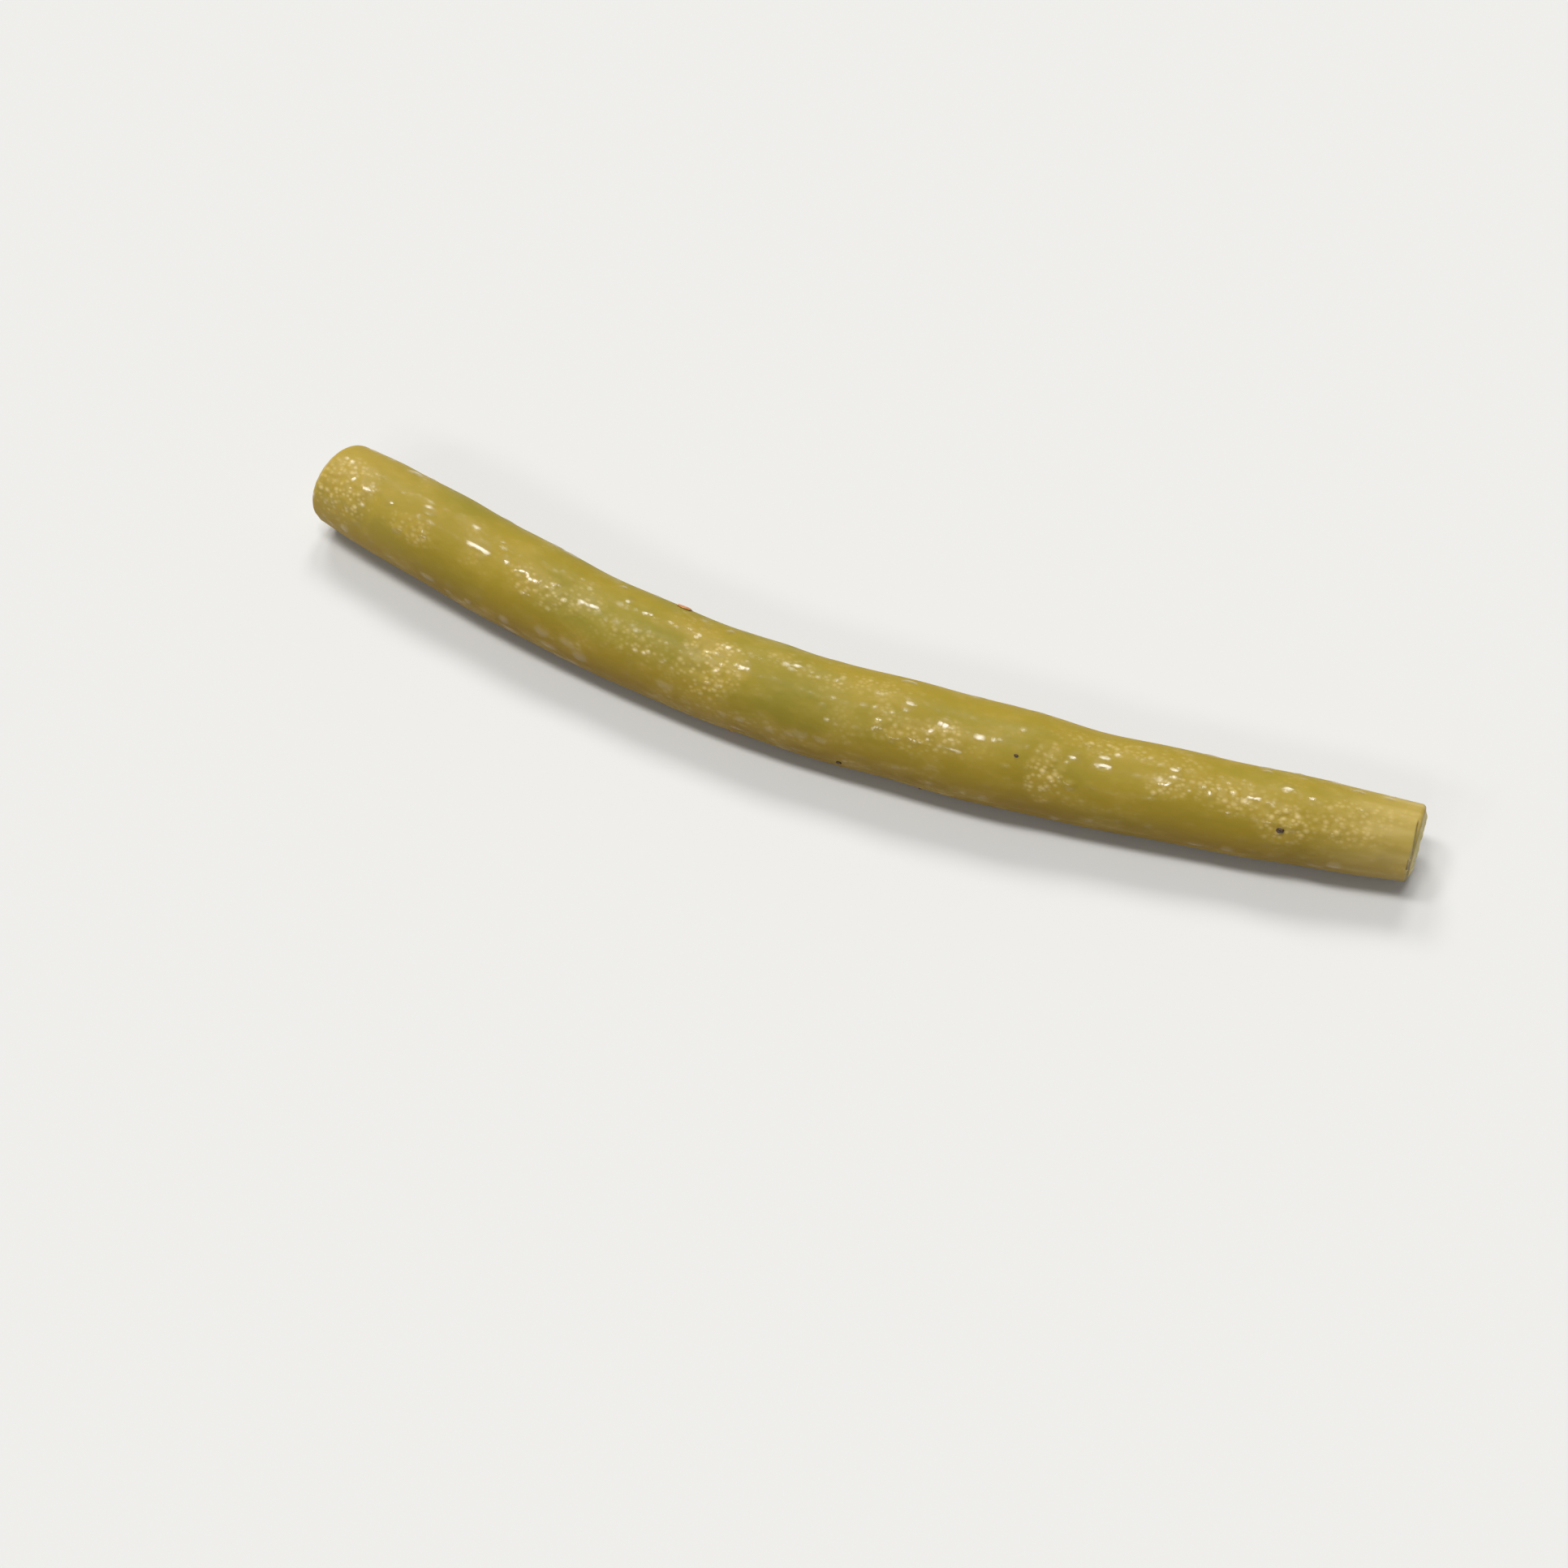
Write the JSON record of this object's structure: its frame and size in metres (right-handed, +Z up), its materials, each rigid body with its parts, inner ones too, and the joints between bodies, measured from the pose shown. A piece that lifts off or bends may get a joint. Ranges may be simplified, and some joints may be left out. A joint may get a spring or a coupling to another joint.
{
  "type": "green bean",
  "caption": "Cooked green bean, topped and tailed: a long slim pod with a gentle bow, faint seed swellings and cut ends, lying on its side on a surface.",
  "frame": {"origin": "on the surface that the bean lies on, under the middle of its bounding box", "axes": "+X along the pod from the stem end to the tip end, +Z up, the bow's outside towards -Y"},
  "size_m": [0.1144, 0.017, 0.0095],
  "materials": {
    "pod_skin": "yellow-green cooked bean skin with a thin wet coat of oil"
  },
  "bodies": {
    "root": {"bean_pod": "pod_skin"}
  },
  "joints": []
}
